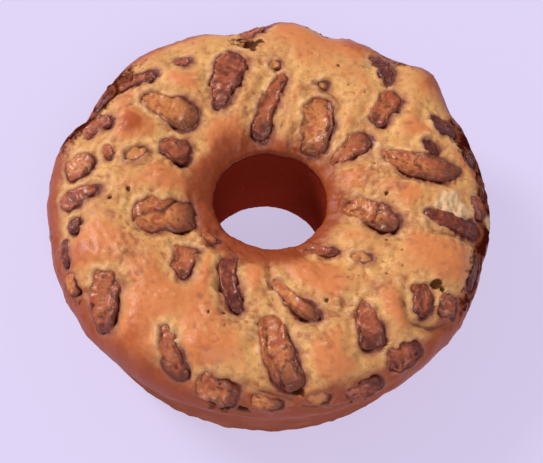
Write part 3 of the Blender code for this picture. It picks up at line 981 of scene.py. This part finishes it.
def baked_batter():
    """Oil-cake batter baked golden in a tube pan: a thin satin skin over fine crumb. It is tan and
    faintly speckled where it rose slowly, orange-brown and smoother on its swellings, glossy brown
    at the rim, and dull brown where it stood against the pan."""
    finish, tree, shader = new_finish("baked_golden_batter")
    place = add_node(tree, "ShaderNodeTexCoord").outputs["Object"]
    # Browning drifts over 13 mm, and crumb shows as lumps of 3 mm and grains of 1 mm. The specks are
    # drawn 1.6 mm wide, coarser than real ones, so that they show
    fields, grains = read_surface(
        tree, place,
        ("browned", "rim", "side", "hole", "burnt", "gap", "cracked", "bump_shading", "crumbly", "torn",
         "pit"),
        (("cloud", 13, 3), ("wander", 6, 3), ("mottle", 3.2, 4), ("speck", 1.6, 1),
         ("crumb", 1.1, 3)),
    )
    # Against the pan's side the batter has level streaks, 12 mm long and a fifth as high
    layers = add_node(
        tree, "ShaderNodeMapping", {"Scale": (1, 1, 5)}, {"Vector": place}
    ).outputs["Vector"]
    grains["streak"] = add_node(
        tree, "ShaderNodeTexNoise",
        {"Scale": 1 / (12 * MM), "Detail": 4, "Roughness": NOISE_ROUGHNESS}, {"Vector": layers},
    ).outputs["Fac"]

    masks = lay_masks(tree, fields, grains, (
        ("pale", None, 0.0, "cloud", 1.0, 0.40, 0.66, 0.9),
        ("mottle", None, 0.0, "mottle", 1.0, 0.47, 0.66, 0.75),
        ("speck", None, 0.0, "speck", 1.0, 0.70, 0.76, 0.35),
        ("orange", "browned", 1.0, "cloud", 1.4, 0.75, 1.45, 0.95),
        ("russet", "browned", 1.0, "mottle", 0.8, 1.3, 2.1, 0.9),
        # Painted highlight on raised lumps and lit lips, painted shade in the dimples
        ("peak_highlight", "bump_shading", 1.0, "mottle", 0.5, 0.45, 1.1, 0.7),
        ("dimple_shade", "bump_shading", -1.0, "mottle", 0.5, 0.3, 0.9, 0.9),
        ("crumb", "crumbly", 1.0, "mottle", 1.6, 0.9, 2.2, 0.4),
        ("rim", "rim", 1.0, "cloud", 0.7, 0.45, 1.0, 0.95),
        ("rim_deep", "rim", 1.0, "mottle", 0.8, 0.85, 1.4, 0.85),
        ("side", "side", 1.0, "mottle", 0.3, 0.35, 0.9, 1.0),
        ("side_pale", "side", 1.0, "cloud", 1.0, 1.44, 1.66, 0.4),
        ("side_streak", "side", 1.0, "streak", 1.0, 1.46, 1.68, 0.4),
        ("hole", "hole", 1.0, "mottle", 0.4, 0.35, 0.95, 1.0),
        ("hole_fleck", "hole", 1.0, "mottle", 1.0, 1.6, 1.76, 0.5),
        ("burnt", "burnt", 1.0, "mottle", 1.6, 1.2, 1.75, 1.0),
        ("creased", "cracked", 1.0, "mottle", 4.0, 5.2, 1.6, 0.4),
        # Painted shade in the cracks
        ("cracked", "cracked", 1.0, "mottle", 2.4, 1.7, 0.3, 0.8),
        # Painted shade round the slices, wider on their shaded side
        ("shade_round_fruit", "gap", 1.0, "mottle", 5.0, 6.2, 2.0, 0.8),
        # Cinnamon stain at the outlines, with painted shade in the crevice and on the shaded side
        ("stain_and_shade", "gap", 1.0, "mottle", 2.4, 1.9, 0.5, 0.85),
        ("torn", "torn", 1.0, "mottle", 0.9, 0.7, 1.25, 0.95),
        # Painted shade in the pits
        ("pit", "pit", 1.0, "crumb", 0.3, 0.3, 0.9, 0.9),
    ))
    # Painted shade of fine cracks, drawn as dark lines
    masks["crack"] = wandering_cracks(tree, grains["wander"], fields["crumbly"])

    surface = paint(tree, masks, "#D99858", (
        ("pale", "#EAB268"),
        ("mottle", "#C0814C"),
        ("orange", "#DA8048"),
        ("russet", "#B2501F"),
        # Painted highlight on the lumps, then painted shade in their dimples
        ("peak_highlight", "#EEBC80"),
        ("dimple_shade", "#B0663E"),
        ("crumb", "#BE7E50"),
        # Painted shade of the fine cracks
        ("crack", "#7C4632"),
        ("speck", "#985C2C"),
        ("rim", "#A04A20"),
        ("rim_deep", "#9A421E"),
        ("side", "#A05A44"),
        ("side_pale", "#B87456"),
        ("side_streak", "#7E3E2C"),
        ("hole", "#882C1C"),
        ("hole_fleck", "#B0522E"),
        ("burnt", "#4A140A"),
        ("creased", "#A8683A"),
        # Painted shade in the cracks
        ("cracked", "#642A1C"),
        # Painted shade round the slices
        ("shade_round_fruit", "#A05C40"),
        # Cinnamon stain, partly painted shade in the crevice
        ("stain_and_shade", "#5A2018"),
        ("torn", "#E0B688"),
        # Painted shade in the pits
        ("pit", "#4A1D10"),
    ))
    tree.links.new(surface, shader.inputs["Base Color"])

    batter_gloss(tree, shader, masks, fields["browned"])
    roughen(
        tree, shader, grains["mottle"], grains["crumb"], share=0.6, strength=0.4, depth=0.7 * MM
    )
    # Oily crumb
    shader.inputs["IOR"].default_value = 1.45
    return finish


def baked_apple():
    """Fruit slices baked brown with cinnamon: moist and wrinkled, with a syrupy shine, translucent
    orange where the flesh is thick and dark purple-brown along their rims. Painted shade darkens
    the rims' shaded side and the creases, and painted highlights lighten the ridges."""
    finish, tree, shader = new_finish("cinnamon_baked_fruit")
    place = add_node(tree, "ShaderNodeTexCoord").outputs["Object"]
    # The flesh's colour drifts over 4.5 mm, wrinkles are 2 mm wide, and fibres are drawn 0.9 mm wide,
    # coarser than real ones
    fields, grains = read_surface(
        tree, place, ("edge", "fold", "tone", "low"),
        (("cloud", 4.5, 2), ("mottle", 2.2, 3), ("fibre", 0.9, 2)),
    )
    masks = lay_masks(tree, fields, grains, (
        ("amber", "tone", 1.4, "cloud", 2.4, 1.6, 2.2, 0.9),
        ("pale", "tone", 1.0, "mottle", 0.8, 1.1, 1.5, 0.85),
        ("blotch", "tone", -1.6, "cloud", 3.0, 0.75, 1.4, 0.8),
        # Painted highlight on raised folds
        ("ridge_highlight", "fold", 1.0, "mottle", 1.2, 0.75, 1.7, 0.75),
        ("dark", "tone", -1.0, "mottle", 0.5, -0.05, 0.25, 0.85),
        # Painted shade in low folds and creases
        ("groove_shade", "fold", -1.0, "mottle", 0.8, 0.75, 1.6, 0.75),
        # Dark rim, the fruit's own, with painted shade added on its shaded side
        ("rim", "edge", 1.0, "cloud", 1.5, 1.15, 1.85, 0.8),
        ("low", "low", 1.0, "mottle", 0.3, 0.5, 1.0, 0.9),
    ))
    surface = paint(tree, masks, "#AC5430", (
        ("amber", "#D48444"),
        ("pale", "#C98A54"),
        ("blotch", "#783022"),
        # Painted highlight on the ridges
        ("ridge_highlight", "#DA9C78"),
        ("dark", "#48120A"),
        # Painted shade in the grooves
        ("groove_shade", "#521C10"),
        # Dark rim, partly painted shade on the shaded side
        ("rim", "#5A2014"),
        ("low", "#36100A"),
    ))
    tree.links.new(surface, shader.inputs["Base Color"])

    rough = add_node(
        tree, "ShaderNodeMapRange",
        {"From Min": 0.3, "From Max": 0.7, "To Min": 0.34, "To Max": 0.58},
        {"Value": grains["mottle"]},
    ).outputs["Result"]
    tree.links.new(rough, shader.inputs["Roughness"])
    roughen(
        tree, shader, grains["mottle"], grains["fibre"], share=0.5, strength=0.35, depth=0.6 * MM
    )
    # Wet fruit under a thin film of syrup
    shader.inputs["IOR"].default_value = 1.4
    shader.inputs["Coat Weight"].default_value = 0.22
    shader.inputs["Coat Roughness"].default_value = 0.17
    return finish


def painted_floor():
    """A matt pale lavender floor, as even as painted board and lit from below as well, so that the
    cake's shadow on it stays light."""
    finish, _, shader = new_finish("matt_pale_floor")
    shader.inputs["Base Color"].default_value = linear("#7C768A")
    shader.inputs["Emission Color"].default_value = linear("#E2D7F7")
    shader.inputs["Emission Strength"].default_value = 0.7
    shader.inputs["Roughness"].default_value = 0.9
    shader.inputs["Specular IOR Level"].default_value = 0.1
    return finish


# The studio
def build_floor():
    """The floor, just below the cake's underside."""
    bm = bmesh.new()
    bmesh.ops.create_grid(bm, x_segments=1, y_segments=1, size=FLOOR_REACH)
    bmesh.ops.translate(bm, verts=bm.verts[:], vec=(0, 0, -FLOOR_DROP))
    mesh = bpy.data.meshes.new("studio_floor")
    bm.to_mesh(mesh)
    bm.free()
    mesh.materials.append(painted_floor())
    floor = bpy.data.objects.new("studio_floor", mesh)
    bpy.context.scene.collection.objects.link(floor)


def add_camera():
    """The photograph's view: from the front, steeply down, with the camera tilted a little."""
    back = Vector((0, -cos(CAMERA_ELEVATION), sin(CAMERA_ELEVATION)))
    level = Vector((1, 0, 0))
    above = back.cross(level)
    right = level * cos(CAMERA_ROLL) + above * sin(CAMERA_ROLL)
    upward = above * cos(CAMERA_ROLL) - level * sin(CAMERA_ROLL)
    lens = bpy.data.cameras.new("photo_view")
    lens.sensor_fit = "HORIZONTAL"
    lens.sensor_width = SENSOR_WIDTH
    lens.lens = FOCAL_PIXELS * SENSOR_WIDTH / PHOTO_WIDTH
    camera = bpy.data.objects.new("photo_view", lens)
    turn = Matrix((right, upward, back)).transposed().to_4x4()
    turn.translation = CAMERA_TARGET + back * CAMERA_DISTANCE
    camera.matrix_world = turn
    bpy.context.scene.collection.objects.link(camera)
    bpy.context.scene.camera = camera


def add_panel(name, place, size, power):
    """A square soft light that faces the cake."""
    lamp = bpy.data.lights.new(name, "AREA")
    lamp.size = size
    lamp.energy = power
    panel = bpy.data.objects.new(name, lamp)
    panel.location = place
    panel.rotation_euler = (Vector(place) - CAMERA_TARGET).to_track_quat("Z", "Y").to_euler()
    bpy.context.scene.collection.objects.link(panel)


def add_light():
    """A big window to the left and behind, a weak panel in front, and an even pale room."""
    world = bpy.data.worlds.new("pale_room")
    world.use_nodes = True
    shade = world.node_tree.nodes["Background"]
    shade.inputs["Color"].default_value = linear("#F4F2FF")
    shade.inputs["Strength"].default_value = 0.42
    bpy.context.scene.world = world
    for panel in PANELS:
        add_panel(*panel)
    bpy.context.scene.view_settings.view_transform = "Standard"


def main():
    add_camera()
    add_light()
    build_floor()
    build_crust(baked_batter())
    fruit = baked_apple()
    for number, cut in enumerate(SLICES):
        build_slice(number, cut, fruit)


main()
